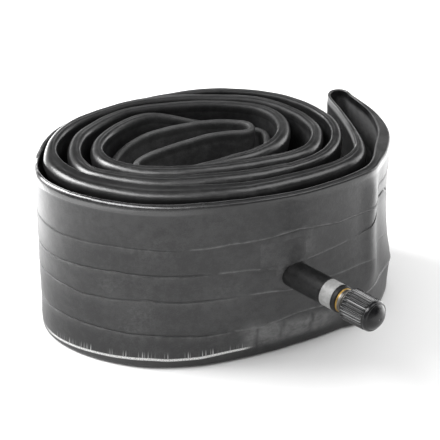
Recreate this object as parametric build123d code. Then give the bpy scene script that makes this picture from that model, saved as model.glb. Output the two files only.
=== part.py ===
from build123d import *
import math
import os

# Bicycle inner tube: a closed butyl tube pressed flat, doubled back on itself and rolled up standing on its
# edge, with a rubber-covered valve (8 mm class) pointing out of the front right.
# Millimetres. +Z up, origin on the ground in the middle of the roll, under the lower edge of one strand; the
# front of the roll faces -Y. Along the valve, distances count outwards from the tube's outer wall.

# ---- tube and patch ----
FLAT_WIDTH = 57.0          # width of the tube when pressed flat = height of the roll
FLAT_THICK = 3.4           # thickness of one flattened strand
HALF_THICK = FLAT_THICK / 2
WALL = 0.9
EDGE_EXTRA = 0.3           # added to the wall at the upper and lower edges
SAMPLES_PER_EDGE = 12      # curve samples to each spline edge of the strip
SPLIT_LENGTH = 2.5         # longer spans of the centre line get a sample halfway

PATCH_THICK = 0.4          # reinforcing patch under the valve
PATCH_LENGTH = 17.2        # along the tube
PATCH_HEIGHT = 33.5
PATCH_CORNER_R = 3.0
PATCH_WINDOW_DEPTH = 16.0  # of the block that trims the patch
SHEET_REACH = 22.6         # least reach of the front sheets each side of the valve
GAP = 0.01                 # between tube and patch, and between patch and stem

# ---- valve stem ----
VALVE_BASE = (22.6, -23.4, 29.8)      # where the valve axis meets the outer wall
VALVE_DIR = (0.684, -0.727, 0.055)    # leans to the right of the wall's own normal

JACKET_R = 4.1             # rubber-covered stem
JACKET_ROOT = -3.5         # start of the jacket before it is cut to the patch
JACKET_FOOT = 3.0          # where the plain round of the stem begins
JACKET_END = 19.6
FLANGE_R = 4.9             # flared foot of the stem
BAND = (14.4, 18.6)        # start and end of the band let into the rubber
BAND_DEPTH = 0.2
INSERT_START = 2.6
INSERT_RIDGE_R = 3.2       # part inside the rubber, over its ridges
INSERT_NECK_R = 2.9        # between the ridges
THREAD_R = 3.85            # plain cylinder over the thread crests
THREAD_DEPTH = 0.4
STEM_END = 30.9            # mouth of the valve
CORE_BORE_R = 2.65
LOWER_BORE_R = 2.0
AIR_BORE_R = 1.5
MOUTH_FLARE = 0.3

# ---- valve core, distances from the mouth, inwards negative ----
PIN_R = 0.45
PIN_COLLAR = -5.6          # inner face of the collar that presses on the spring
BARREL_FLOOR = -11.6
BARREL_BORE_R = 1.25
CUP_START = -14.6
CUP_FLOOR = -14.1
TONGUE_WIDTH = 3.3         # between the two flats of the plug
SPRING_WIRE = 0.26
SPRING_R = 0.95
SPRING_TURNS = 8
SPRING_GAP = 0.02          # at each end of the spring

# ---- dust cap ----
CAP_START = 23.0
CAP_SHOULDER = 31.0        # end of the ribs, start of the domed front
CAP_END = 34.2
CAP_BORE_R = 3.95
CAP_BORE_END = 31.8
CAP_R_REAR = 4.62          # between the ribs
CAP_R_FRONT = 4.44
CAP_EDGE = 0.2             # length of the bevel at the open end
CAP_TAPER_STOP = 0.25      # the taper ends this far before the shoulder
CAP_RIBS = 28
RIB_HEIGHT = 0.34
RIB_ROOT = 0.5             # depth of a rib sunk into the cap
RIB_BASE_HALF = 0.4
RIB_TOP_HALF = 0.19
RIB_START = 0.35           # from the open end of the cap
RIB_SHORTER = 0.75         # rib length lacking to the full run up to the shoulder
SEAL_R = 3.85

# Centre line (x, y) of the flattened tube in plan, one closed loop. It starts at the outer fold at the back
# right, runs clockwise round the outside (right, front, left, back), winds inwards, passes two small folds in
# the middle and returns anticlockwise beside itself to the start.
CENTRE_LINE = [
    (39.00, 36.95), (39.75, 36.82), (40.44, 36.45), (41.00, 35.64), (41.66, 34.09), (45.60, 28.11),
    (49.16, 20.93), (51.04, 13.18), (50.37, 5.33), (48.27, -2.40), (44.91, -8.26), (39.16, -13.05),
    (32.27, -17.15), (25.07, -20.65), (17.56, -23.46), (9.85, -25.64), (1.99, -27.22), (-5.95, -28.25),
    (-13.95, -28.68), (-21.94, -28.09), (-29.74, -26.28), (-37.22, -23.42), (-44.16, -19.43), (-49.38, -14.37),
    (-51.87, -8.94), (-52.92, -1.02), (-52.44, 6.97), (-50.34, 14.69), (-46.19, 21.50), (-40.24, 26.84),
    (-33.56, 31.26), (-26.30, 34.60), (-18.55, 36.65), (-10.66, 38.04), (-2.67, 38.58), (5.35, 38.58),
    (13.26, 37.40), (20.71, 34.49), (27.28, 29.93), (32.71, 24.05), (35.88, 17.75), (36.50, 10.99),
    (34.99, 4.82), (31.03, -1.08), (24.78, -5.60), (17.43, -8.78), (9.84, -11.34), (2.02, -13.08),
    (-5.94, -14.05), (-13.93, -14.68), (-21.91, -14.22), (-29.71, -12.39), (-35.70, -9.74), (-38.96, -6.47),
    (-41.14, -1.67), (-41.64, 5.04), (-40.02, 11.53), (-35.89, 17.39), (-30.33, 23.13), (-24.30, 26.55),
    (-16.59, 28.74), (-8.69, 30.05), (-0.68, 30.27), (7.29, 29.55), (13.40, 27.52), (17.15, 24.43),
    (19.33, 20.69), (20.26, 15.21), (19.34, 9.47), (16.69, 4.96), (10.74, -0.15), (3.44, -3.08),
    (-4.40, -4.77), (-12.34, -5.76), (-20.33, -5.33), (-26.68, -3.09), (-28.90, -1.25), (-30.16, 1.12),
    (-30.67, 4.32), (-30.02, 7.49), (-27.34, 11.80), (-22.32, 15.75), (-15.08, 19.17), (-7.37, 21.32),
    (0.59, 22.23), (7.67, 21.80), (9.57, 21.11), (10.45, 20.31), (10.90, 19.39), (10.99, 18.41),
    (10.74, 17.46), (10.17, 16.63), (9.17, 16.00), (6.58, 15.51), (-0.04, 14.30), (-7.15, 11.11),
    (-14.43, 7.79), (-21.37, 4.50), (-23.24, 3.18), (-23.85, 2.33), (-24.01, 1.49), (-23.82, 0.68),
    (-23.31, -0.10), (-22.36, -0.84), (-20.41, -1.43), (-13.26, -1.91), (-5.30, -1.20), (2.51, 0.59),
    (9.78, 3.72), (13.57, 7.08), (15.19, 10.29), (15.75, 15.37), (14.67, 20.39), (13.02, 23.00),
    (10.68, 24.72), (6.20, 25.88), (-1.79, 26.50), (-9.79, 26.12), (-17.44, 24.70), (-23.56, 21.23),
    (-29.61, 15.99), (-33.74, 9.86), (-35.16, 4.26), (-34.68, -0.10), (-33.12, -3.23), (-30.11, -6.00),
    (-23.86, -8.57), (-15.91, -9.44), (-7.91, -9.08), (-0.00, -7.76), (7.77, -5.81), (15.44, -3.50),
    (22.92, -0.64), (27.30, 2.51), (29.30, 5.64), (30.39, 11.12), (29.74, 16.34), (26.43, 22.56),
    (20.73, 28.16), (13.81, 32.03), (5.99, 33.70), (-2.01, 34.20), (-10.01, 33.92), (-17.88, 32.43),
    (-25.60, 30.28), (-32.50, 26.59), (-39.02, 21.94), (-44.66, 16.31), (-47.94, 9.69), (-48.94, 2.88),
    (-47.70, -2.87), (-44.14, -8.43), (-37.91, -13.43), (-30.61, -16.68), (-22.87, -18.76), (-14.91, -19.62),
    (-6.90, -19.51), (1.10, -19.02), (9.02, -17.83), (16.70, -15.53), (24.13, -12.54), (31.37, -9.10),
    (38.02, -4.68), (41.58, -0.35), (43.05, 4.07), (42.92, 11.36), (41.44, 19.23), (39.10, 26.90),
    (36.84, 33.31), (36.66, 34.80), (36.94, 35.73), (37.49, 36.37), (38.17, 36.78),
]


# ---- strips beside the centre line ----
def centre_curve():
    """(point, unit tangent) samples of the closed centre line, by centripetal cubic blending."""
    count = len(CENTRE_LINE)
    samples = []
    for i in range(count):
        before, start, end, after = (CENTRE_LINE[(i + k) % count] for k in (-1, 0, 1, 2))
        lead = math.dist(before, start) ** 0.5
        span = math.dist(start, end) ** 0.5
        trail = math.dist(end, after) ** 0.5
        start_slope = [
            span * ((start[k] - before[k]) / lead - (end[k] - before[k]) / (lead + span)
                    + (end[k] - start[k]) / span)
            for k in (0, 1)
        ]
        end_slope = [
            span * ((end[k] - start[k]) / span - (after[k] - start[k]) / (span + trail)
                    + (after[k] - end[k]) / trail)
            for k in (0, 1)
        ]

        def blend(weights):
            terms = (start, start_slope, end, end_slope)
            return [sum(w * term[k] for w, term in zip(weights, terms)) for k in (0, 1)]

        steps = 2 if math.dist(start, end) > SPLIT_LENGTH else 1
        for j in range(steps):
            u = j / steps
            point = blend((2*u**3 - 3*u**2 + 1, u**3 - 2*u**2 + u, -2*u**3 + 3*u**2, u**3 - u**2))
            slope = blend((6*u**2 - 6*u, 3*u**2 - 4*u + 1, -6*u**2 + 6*u, 3*u**2 - 2*u))
            size = math.hypot(*slope)
            samples.append((point, (slope[0] / size, slope[1] / size)))
    return samples


CURVE = centre_curve()


def smooth_edge(samples, distance, z):
    """Spline through samples moved to the left of their running direction, tangent to it at both ends."""
    points = [Vector(p[0] - t[1] * distance, p[1] + t[0] * distance, z) for p, t in samples]
    run = [0.0]
    for a, b in zip(points[:-1], points[1:]):
        run.append(run[-1] + max((b - a).length, 1e-4) ** 0.5)
    return Edge.make_spline(
        points,
        tangents=[Vector(*samples[0][1], 0), Vector(*samples[-1][1], 0)],
        parameters=[r / run[-1] for r in run],
    )


def side(distance, z):
    """Closed wire beside the whole centre line, in short splines."""
    count = len(CURVE)
    # the last edge takes up any short remainder
    cuts = list(range(0, count - 4, SAMPLES_PER_EDGE)) + [count]
    return Wire([
        smooth_edge([CURVE[i % count] for i in range(a, b + 1)], distance, z)
        for a, b in zip(cuts[:-1], cuts[1:])
    ])


def ribbon(half, z0, z1):
    """Closed strip of the given half thickness standing from z0 to z1."""
    # the loop runs clockwise, so its left side is the outer wire
    return Solid.extrude(Face(side(half, z0), [side(-half, z0)]), Vector(0, 0, z1 - z0))


def samples_near_valve():
    """Curve samples reaching SHEET_REACH to each side of the valve, in running order."""
    near = min(range(len(CURVE)), key=lambda i: math.dist(CURVE[i][0], VALVE_BASE[:2]))
    found = [(0.0, CURVE[near])]
    for step in (1, -1):
        run, i = 0.0, near
        while run < SHEET_REACH:
            j = (i + step) % len(CURVE)
            run += math.dist(CURVE[i][0], CURVE[j][0])
            found.append((step * run, CURVE[j]))
            i = j
    return [sample for _, sample in sorted(found, key=lambda item: item[0])]


FRONT = samples_near_valve()


def sheet(d0, d1):
    """Full-height plate along the front, between two distances out from the centre line."""
    a, b = smooth_edge(FRONT, d0, 0), smooth_edge(FRONT, d1, 0)
    edges = [a, Edge.make_line(a @ 1, b @ 1), b, Edge.make_line(b @ 0, a @ 0)]
    return Solid.extrude(Face(Wire(edges)), Vector(0, 0, FLAT_WIDTH))


# ---- shapes on the valve axis ----
AXIS = Vector(*VALVE_DIR).normalized()
VALVE = Plane(origin=VALVE_BASE, x_dir=Vector(0, 0, 1).cross(AXIS), z_dir=AXIS)


def turned(profile, start=0):
    """Solid of revolution about the valve axis from (radius, distance beyond start) points."""
    line = Polyline(*[(r, 0, start + s) for r, s in profile], close=True)
    return VALVE.location * revolve(make_face(line), axis=Axis.Z, revolution_arc=360)


def core(profile):
    """Turned solid with its distances counted from the mouth of the stem."""
    return turned(profile, STEM_END)


def rod(r, s0, s1):
    return VALVE.location * Pos(0, 0, (s0 + s1) / 2) * Cylinder(r, s1 - s0)


def solid_of(shape):
    found = shape.solids()
    return found[0] if len(found) == 1 else Compound(found)


# ---- tube and patch ----
def make_tube():
    edge = WALL + EDGE_EXTRA
    body = ribbon(HALF_THICK, 0, FLAT_WIDTH)
    cavity = ribbon(HALF_THICK - WALL, edge, FLAT_WIDTH - edge)
    return body.cut(cavity).cut(rod(AIR_BORE_R, -1.9, 4.0).solid())


def make_patch():
    """Rounded rectangle that follows the outer wall around the valve."""
    tangent = FRONT[len(FRONT) // 2][1]
    along = Vector(*tangent, 0)
    outward = Vector(-along.Y, along.X, 0)
    plane = Plane(origin=VALVE_BASE, x_dir=along, z_dir=outward)
    outline = RectangleRounded(PATCH_LENGTH, PATCH_HEIGHT, PATCH_CORNER_R)
    window = extrude(plane.offset(-PATCH_WINDOW_DEPTH / 2) * outline, amount=PATCH_WINDOW_DEPTH)
    inner = HALF_THICK + GAP
    patch = sheet(inner, inner + PATCH_THICK).intersect(window.solid())
    return solid_of(patch).cut(rod(AIR_BORE_R, -4, 6).solid())


# ---- stem ----
def insert_blank():
    """Stem insert before boring: ridged inside the rubber, then the thread with a groove near its start."""
    ridge, neck, root = INSERT_RIDGE_R, INSERT_NECK_R, THREAD_R - THREAD_DEPTH
    return turned([
        (0, INSERT_START), (3.3, INSERT_START), (3.3, 2.9), (neck, 3.1),
        (neck, 5.0), (ridge, 5.3), (ridge, 6.7), (neck, 7.0),
        (neck, 9.0), (ridge, 9.3), (ridge, 10.7), (neck, 11.0),
        (neck, 13.0), (ridge, 13.3), (ridge, JACKET_END), (THREAD_R, JACKET_END),
        (THREAD_R, 20.15), (root, 20.45), (root, 21.3), (THREAD_R, 21.7),
        (THREAD_R, STEM_END - 0.45), (root, STEM_END), (0, STEM_END),
    ])


def make_insert():
    flare_r = CORE_BORE_R + MOUTH_FLARE
    bore = core([
        (0, -STEM_END), (AIR_BORE_R, -STEM_END), (AIR_BORE_R, -18), (LOWER_BORE_R, -17.3),
        (LOWER_BORE_R, -6), (CORE_BORE_R, -4.7), (CORE_BORE_R, -MOUTH_FLARE),
        (flare_r, 0), (flare_r, 1), (0, 1),
    ])
    return insert_blank().cut(bore.solid())


def make_jacket():
    """Rubber cover with a flared foot, a groove for the band and a bevelled end."""
    groove_r = JACKET_R - BAND_DEPTH
    jacket = turned([
        (0, JACKET_ROOT), (FLANGE_R, JACKET_ROOT), (FLANGE_R, 1.2), (FLANGE_R - 0.45, 1.9),
        (JACKET_R + 0.1, JACKET_FOOT - 0.3), (JACKET_R, JACKET_FOOT),
        (JACKET_R, BAND[0]), (groove_r, BAND[0]), (groove_r, BAND[1]), (JACKET_R, BAND[1]),
        (JACKET_R, JACKET_END - 0.3), (JACKET_R - 0.3, JACKET_END), (0, JACKET_END),
    ])
    under = sheet(-6, HALF_THICK + PATCH_THICK + 2 * GAP)
    return jacket.cut(under).cut(insert_blank().solid()).cut(rod(AIR_BORE_R, -6, 3).solid())


def make_band():
    inside = rod(JACKET_R - BAND_DEPTH, BAND[0] - 1, BAND[1] + 1)
    return rod(JACKET_R, *BAND).cut(inside.solid())


# ---- valve core ----
def make_plug():
    """Bored plug with two flats at its outer end."""
    plug = core([(0.75, -4.25), (2.45, -4.25), (2.6, -4.05), (2.6, -1.1), (2.45, -0.9), (0.75, -0.9)])
    flats = VALVE.location * Pos(0, 0, STEM_END - 1.6) * (Box(8, 8, 1.5) - Box(TONGUE_WIDTH, 9, 2))
    return plug.cut(*flats.solids())


def make_barrel():
    return core([
        (0.62, -12.7), (1.5, -12.7), (1.75, -12.4), (1.75, -6.5), (1.6, -6.3), (1.6, -4.9),
        (1.95, -4.7), (1.95, -4.3), (BARREL_BORE_R, -4.3), (BARREL_BORE_R, BARREL_FLOOR),
        (0.62, BARREL_FLOOR),
    ])


def make_gasket():
    return core([(1.62, -6.25), (1.92, -6.25), (1.96, -6.0), (2.42, -5.05), (2.42, -4.9), (1.62, -4.92)])


def make_cup():
    return core([
        (PIN_R, CUP_START), (1.55, CUP_START), (1.55, -13.2), (1.27, -13.2), (1.27, CUP_FLOOR),
        (PIN_R, CUP_FLOOR),
    ])


def make_core_seal():
    return core([(PIN_R, CUP_FLOOR), (1.25, CUP_FLOOR), (1.25, -12.74), (PIN_R, -12.74)])


def make_pin():
    """Pin with a foot under the cup, a collar over the spring and a head near the mouth."""
    return core([
        (0, -15.1), (0.7, -15.1), (0.7, CUP_START), (PIN_R, CUP_START), (PIN_R, PIN_COLLAR),
        (1.12, PIN_COLLAR), (1.12, -5.25), (PIN_R, -5.05), (PIN_R, -1.3), (0.6, -1.15),
        (0.6, -0.4), (0.4, -0.2), (0, -0.2),
    ])


def make_spring():
    """Coil between the barrel floor and the pin collar."""
    height = PIN_COLLAR - BARREL_FLOOR - SPRING_WIRE - 2 * SPRING_GAP
    path = Helix(pitch=height / SPRING_TURNS, height=height, radius=SPRING_R)
    section = Plane(origin=path @ 0, z_dir=path % 0) * Circle(SPRING_WIRE / 2)
    coil = sweep(section, path=path, is_frenet=True)
    start = STEM_END + BARREL_FLOOR + SPRING_GAP + SPRING_WIRE / 2
    return VALVE.location * Pos(0, 0, start) * coil


# ---- dust cap ----
def cap_ribs():
    """Ribs that follow the taper of the cap."""
    taper_run = CAP_SHOULDER - CAP_TAPER_STOP - CAP_START - CAP_EDGE
    slope = math.degrees(math.atan2(CAP_R_REAR - CAP_R_FRONT, taper_run))
    section = Polygon(
        (-RIB_BASE_HALF, -RIB_ROOT), (RIB_BASE_HALF, -RIB_ROOT),
        (RIB_TOP_HALF, RIB_HEIGHT), (-RIB_TOP_HALF, RIB_HEIGHT), align=None,
    )
    rib = extrude(section, amount=CAP_SHOULDER - CAP_START - RIB_SHORTER)
    seat = Pos(0, CAP_R_REAR, CAP_START + RIB_START) * Rot(slope, 0, 0)
    return [
        (VALVE.location * (Rot(0, 0, 360 / CAP_RIBS * k) * seat * rib).solid()).solid()
        for k in range(CAP_RIBS)
    ]


def make_cap():
    """Tapered ribbed cap with a shallow groove before its domed front."""
    front, shoulder = CAP_R_FRONT, CAP_SHOULDER
    body = turned([
        (0, CAP_START), (CAP_R_REAR - 0.1, CAP_START), (CAP_R_REAR, CAP_START + CAP_EDGE),
        (front, shoulder - CAP_TAPER_STOP), (front - 0.12, shoulder - 0.05),
        (front - 0.12, shoulder + 0.1), (front + 0.22, shoulder + 0.3), (front + 0.12, shoulder + 0.7),
        (4.3, shoulder + 1.15), (3.95, shoulder + 1.65), (3.4, shoulder + 2.2),
        (2.7, shoulder + 2.65), (1.9, shoulder + 2.95), (1.0, shoulder + 3.15), (0, CAP_END),
    ])
    mouth_r = CAP_BORE_R + 0.25
    hollow = turned([
        (0, CAP_START - 1), (mouth_r, CAP_START - 1), (mouth_r, CAP_START + 0.01),
        (CAP_BORE_R, CAP_START + 0.4), (CAP_BORE_R, CAP_BORE_END), (0, CAP_BORE_END),
    ])
    return body.solid().fuse(*cap_ribs()).cut(hollow.solid())


def make_cap_seal():
    """Disc between the mouth of the stem and the end of the cap's bore."""
    start, end = STEM_END + 0.08, CAP_BORE_END - 0.02
    return turned([(0, start), (SEAL_R, start), (SEAL_R, end), (0, end)])


parts = {
    "inner_tube": make_tube,
    "valve_patch": make_patch,
    "stem_jacket": make_jacket,
    "stem_insert": make_insert,
    "stem_band": make_band,
    "core_plug": make_plug,
    "core_barrel": make_barrel,
    "core_gasket": make_gasket,
    "core_pin": make_pin,
    "core_spring": make_spring,
    "core_cup": make_cup,
    "core_seal": make_core_seal,
    "dust_cap": make_cap,
    "cap_seal": make_cap_seal,
}

os.makedirs("parts", exist_ok=True)
for name, make in parts.items():
    piece = solid_of(make())
    piece.label = name
    export_step(piece, f"parts/{name}.step")
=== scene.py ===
# A rubber inner tube, flattened and rolled into a flat oval coil that stands on its edges, with
# its valve and dust cap pointing out at the front right. +Z is up, the front is -Y and the right
# is +X. Shapes are worked out in millimetres and stored in metres.
import bmesh
import bpy
import math
import numpy as np
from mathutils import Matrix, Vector


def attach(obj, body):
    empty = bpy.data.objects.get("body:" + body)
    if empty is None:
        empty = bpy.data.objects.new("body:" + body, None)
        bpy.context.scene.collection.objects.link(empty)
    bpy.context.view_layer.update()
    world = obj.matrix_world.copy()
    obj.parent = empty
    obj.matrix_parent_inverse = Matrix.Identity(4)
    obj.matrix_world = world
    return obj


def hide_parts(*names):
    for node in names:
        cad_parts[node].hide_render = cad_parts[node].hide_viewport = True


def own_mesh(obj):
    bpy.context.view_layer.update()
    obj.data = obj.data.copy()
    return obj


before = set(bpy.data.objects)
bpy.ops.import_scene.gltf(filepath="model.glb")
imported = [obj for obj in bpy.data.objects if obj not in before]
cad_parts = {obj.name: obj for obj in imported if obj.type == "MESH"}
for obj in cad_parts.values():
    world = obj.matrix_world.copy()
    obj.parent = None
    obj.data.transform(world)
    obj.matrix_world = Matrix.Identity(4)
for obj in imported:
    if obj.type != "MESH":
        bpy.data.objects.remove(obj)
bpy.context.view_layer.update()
MM = 0.001
TAU = 2 * math.pi

# The flattened tube's centre line: x, y and the height of its top edge (mm), one closed loop. It
# starts at the back right and runs clockwise seen from above: right, front, left, back.
PATH = np.array([
    (39.00, 36.95, 57.0), (39.75, 36.82, 57.0), (40.44, 36.45, 57.0), (41.00, 35.64, 57.0),
    (41.66, 34.09, 57.0), (45.60, 28.11, 57.0), (49.16, 20.93, 57.0), (51.04, 13.18, 57.0),
    (50.37, 5.33, 57.0), (48.27, -2.40, 57.0), (44.91, -8.26, 57.0), (39.16, -13.05, 57.0),
    (32.27, -17.15, 57.0), (25.07, -20.65, 57.0), (17.56, -23.46, 57.0), (9.85, -25.64, 57.0),
    (1.99, -27.22, 57.0), (-5.95, -28.25, 57.0), (-13.95, -28.68, 57.0), (-21.94, -28.09, 57.0),
    (-29.74, -26.28, 57.0), (-37.22, -23.42, 57.0), (-44.16, -19.43, 57.0), (-49.38, -14.37, 57.0),
    (-51.87, -8.94, 56.7), (-52.92, -1.02, 54.9), (-52.44, 6.97, 53.9), (-50.34, 14.69, 54.0),
    (-46.19, 21.50, 54.0), (-40.24, 26.84, 54.1), (-33.56, 31.26, 54.4), (-26.30, 34.60, 54.8),
    (-18.55, 36.65, 55.3), (-10.66, 38.04, 56.0), (-2.67, 38.58, 56.8), (5.35, 38.58, 57.0),
    (13.26, 37.40, 57.0), (20.71, 34.49, 57.0), (27.28, 29.93, 57.0), (32.71, 24.05, 57.0),
    (35.88, 17.75, 57.0), (36.50, 10.99, 57.0), (34.99, 4.82, 57.0), (31.03, -1.08, 57.0),
    (24.78, -5.60, 57.0), (17.43, -8.78, 57.0), (9.84, -11.34, 57.0), (2.02, -13.08, 57.0),
    (-5.94, -14.05, 57.0), (-13.93, -14.68, 57.0), (-21.91, -14.22, 57.0), (-29.71, -12.39, 57.0),
    (-35.70, -9.74, 57.0), (-38.96, -6.47, 57.0), (-41.14, -1.67, 57.0), (-41.64, 5.04, 57.0),
    (-40.02, 11.53, 57.0), (-35.89, 17.39, 57.0), (-30.33, 23.13, 57.0), (-24.30, 26.55, 57.0),
    (-16.59, 28.74, 57.0), (-8.69, 30.05, 57.0), (-0.68, 30.27, 57.0), (7.29, 29.55, 57.0),
    (13.40, 27.52, 57.0), (17.15, 24.43, 57.0), (19.33, 20.69, 57.0), (20.26, 15.21, 57.0),
    (19.34, 9.47, 57.0), (16.69, 4.96, 57.0), (10.74, -0.15, 57.0), (3.44, -3.08, 56.9),
    (-4.40, -4.77, 55.8), (-12.34, -5.76, 54.5), (-20.33, -5.33, 52.5), (-26.68, -3.09, 50.9),
    (-28.90, -1.25, 50.4), (-30.16, 1.12, 50.3), (-30.67, 4.32, 50.4), (-30.02, 7.49, 50.9),
    (-27.34, 11.80, 51.8), (-22.32, 15.75, 53.4), (-15.08, 19.17, 54.3), (-7.37, 21.32, 54.7),
    (0.59, 22.23, 55.0), (7.67, 21.80, 55.0), (9.57, 21.11, 55.0), (10.45, 20.31, 55.0),
    (10.90, 19.39, 55.0), (10.99, 18.41, 55.0), (10.74, 17.46, 55.0), (10.17, 16.63, 55.0),
    (9.17, 16.00, 55.0), (6.58, 15.51, 55.0), (-0.04, 14.30, 55.0), (-7.15, 11.11, 54.9),
    (-14.43, 7.79, 54.3), (-21.37, 4.50, 53.1), (-23.24, 3.18, 52.5), (-23.85, 2.33, 52.2),
    (-24.01, 1.49, 51.9), (-23.82, 0.68, 51.6), (-23.31, -0.10, 51.3), (-22.36, -0.84, 50.9),
    (-20.41, -1.43, 50.1), (-13.26, -1.91, 48.3), (-5.30, -1.20, 47.9), (2.51, 0.59, 48.3),
    (9.78, 3.72, 49.9), (13.57, 7.08, 51.2), (15.19, 10.29, 52.3), (15.75, 15.37, 53.2),
    (14.67, 20.39, 52.5), (13.02, 23.00, 51.8), (10.68, 24.72, 51.2), (6.20, 25.88, 50.5),
    (-1.79, 26.50, 51.5), (-9.79, 26.12, 53.4), (-17.44, 24.70, 55.8), (-23.56, 21.23, 57.0),
    (-29.61, 15.99, 57.0), (-33.74, 9.86, 57.0), (-35.16, 4.26, 57.0), (-34.68, -0.10, 57.0),
    (-33.12, -3.23, 57.0), (-30.11, -6.00, 57.0), (-23.86, -8.57, 57.0), (-15.91, -9.44, 57.0),
    (-7.91, -9.08, 57.0), (-0.00, -7.76, 57.0), (7.77, -5.81, 57.0), (15.44, -3.50, 57.0),
    (22.92, -0.64, 57.0), (27.30, 2.51, 57.0), (29.30, 5.64, 57.0), (30.39, 11.12, 57.0),
    (29.74, 16.34, 57.0), (26.43, 22.56, 57.0), (20.73, 28.16, 57.0), (13.81, 32.03, 57.0),
    (5.99, 33.70, 57.0), (-2.01, 34.20, 57.0), (-10.01, 33.92, 57.0), (-17.88, 32.43, 57.0),
    (-25.60, 30.28, 57.0), (-32.50, 26.59, 57.0), (-39.02, 21.94, 57.0), (-44.66, 16.31, 57.0),
    (-47.94, 9.69, 57.0), (-48.94, 2.88, 57.0), (-47.70, -2.87, 57.0), (-44.14, -8.43, 57.0),
    (-37.91, -13.43, 57.0), (-30.61, -16.68, 57.0), (-22.87, -18.76, 57.0), (-14.91, -19.62, 57.0),
    (-6.90, -19.51, 57.0), (1.10, -19.02, 57.0), (9.02, -17.83, 57.0), (16.70, -15.53, 57.0),
    (24.13, -12.54, 57.0), (31.37, -9.10, 57.0), (38.02, -4.68, 57.0), (41.58, -0.35, 57.0),
    (43.05, 4.07, 57.0), (42.92, 11.36, 57.0), (41.44, 19.23, 57.0), (39.10, 26.90, 57.0),
    (36.84, 33.31, 57.0), (36.66, 34.80, 57.0), (36.94, 35.73, 57.0), (37.49, 36.37, 57.0),
    (38.17, 36.78, 57.0),
])
COIL_CENTRE = np.array([-1.0, 5.0])
OUTER_END = 318.0       # distance along the tube where the outer strand ends, at the back
DENSE = 12000           # samples of the spline
EVEN = 4000             # even samples used for every signal along the tube
BEAD = 3.1              # height of the folded bead at either edge of the tube
AIR = 0.07              # clearance from the midline between two strands

# Valve: where its axis meets the wall, and the direction it points in
VALVE_BASE = np.array([22.6, -23.4, 29.8])
AXIS = np.array([0.684, -0.727, 0.055])
AXIS /= np.linalg.norm(AXIS)
AXIS_SIDE = np.cross([0, 0, 1.0], AXIS)
AXIS_SIDE /= np.linalg.norm(AXIS_SIDE)
AXIS_UP = np.cross(AXIS, AXIS_SIDE)


# ---- Curves and signals ------------------------------------------------------------------------
def periodic_spline(knots, values):
    """C2 periodic cubic; knots has one more entry than values, the closing one."""
    count = len(values)
    span = np.diff(knots)
    system = np.zeros((count, count))
    jump = np.zeros((count, values.shape[1]))
    for i in range(count):
        j = (i + 1) % count
        system[i, i - 1] += span[i - 1]
        system[i, i] += 2 * (span[i - 1] + span[i])
        system[i, j] += span[i]
        jump[i] = 6 * ((values[j] - values[i]) / span[i]
                       - (values[i] - values[i - 1]) / span[i - 1])
    second = np.linalg.solve(system, jump)

    def evaluate(at):
        i = np.clip(np.searchsorted(knots, at, side="right") - 1, 0, count - 1)
        j = (i + 1) % count
        width = span[i][:, None]
        ahead = (knots[i + 1] - at)[:, None]
        behind = (at - knots[i])[:, None]
        return ((second[i] * ahead**3 + second[j] * behind**3) / (6 * width)
                + (values[i] / width - second[i] * width / 6) * ahead
                + (values[j] / width - second[j] * width / 6) * behind)

    return evaluate


def ramp(x, zero_at, one_at):
    """Smooth step, 0 at zero_at and 1 at one_at, which may be the lower of the two."""
    t = np.clip((x - zero_at) / (one_at - zero_at), 0, 1)
    return t * t * (3 - 2 * t)


def window(x, start, full, last_full, end):
    """1 between full and last_full, easing to 0 at start and end."""
    return ramp(x, start, full) * ramp(x, end, last_full)


def bell(x, centre, width):
    return np.exp(-(((x - centre) / width) ** 2))


def blend(a, b, share):
    return a * (1 - share) + b * share


def smooth_loop(signal, sigma):
    """Gaussian smoothing of an even signal round the loop, sigma in mm."""
    waves = np.fft.fftfreq(len(signal), EVEN_STEP)
    gain = np.exp(-2 * (math.pi * waves * sigma) ** 2)
    return np.real(np.fft.ifft(np.fft.fft(signal) * gain))


def wave_noise(waves, low, high, seed):
    """Smooth closed noise of about unit size, from wavelengths of low..high mm."""
    random = np.random.RandomState(seed)
    total = np.zeros(EVEN)
    fewest, most = LENGTH / high, LENGTH / low
    for _ in range(waves):
        cycles = int(round(random.uniform(fewest, most)))
        phase = random.uniform(0, 6.28)
        total += np.sin(TAU * cycles * even / LENGTH + phase) * random.uniform(0.5, 1)
    return total / math.sqrt(waves / 2)


# ---- Centre line in even samples ---------------------------------------------------------------
closed = np.vstack([PATH, PATH[:1]])
knots = np.r_[0, np.cumsum(np.sqrt(np.hypot(*np.diff(closed[:, :2], axis=0).T)))]
dense = periodic_spline(knots, PATH)(np.linspace(0, knots[-1], DENSE, endpoint=False))
dense = np.vstack([dense, dense[:1]])
arc = np.r_[0, np.cumsum(np.hypot(*np.diff(dense[:, :2], axis=0).T))]
LENGTH = float(arc[-1])
EVEN_STEP = LENGTH / EVEN
even = np.linspace(0, LENGTH, EVEN, endpoint=False)
line = np.stack([np.interp(even, arc, dense[:, k]) for k in range(3)], 1)
line_xy = line[:, :2]

chord = np.roll(line_xy, -1, 0) - np.roll(line_xy, 1, 0)
heading = np.unwrap(np.arctan2(chord[:, 1], chord[:, 0]))
full_turns = round((heading[-1] - heading[0]) / TAU)
steady = heading[0] + TAU * full_turns * even / LENGTH
heading = smooth_loop(heading - steady, 0.25) + steady
curvature = np.gradient(heading, EVEN_STEP)
curvature[[0, -1]] = curvature[[1, -2]]
curvature = smooth_loop(curvature, 0.4)
to_left = np.stack([-np.sin(heading), np.cos(heading)], 1)

# 1 where the left side looks away from the coil's centre, 0 where it looks towards it
from_centre = line_xy - COIL_CENTRE
facing = np.sum(to_left * from_centre, 1) / np.maximum(np.hypot(*from_centre.T), 1)
outward = smooth_loop(np.clip(facing * 2.2, -1, 1), 5) * 0.5 + 0.5


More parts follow.
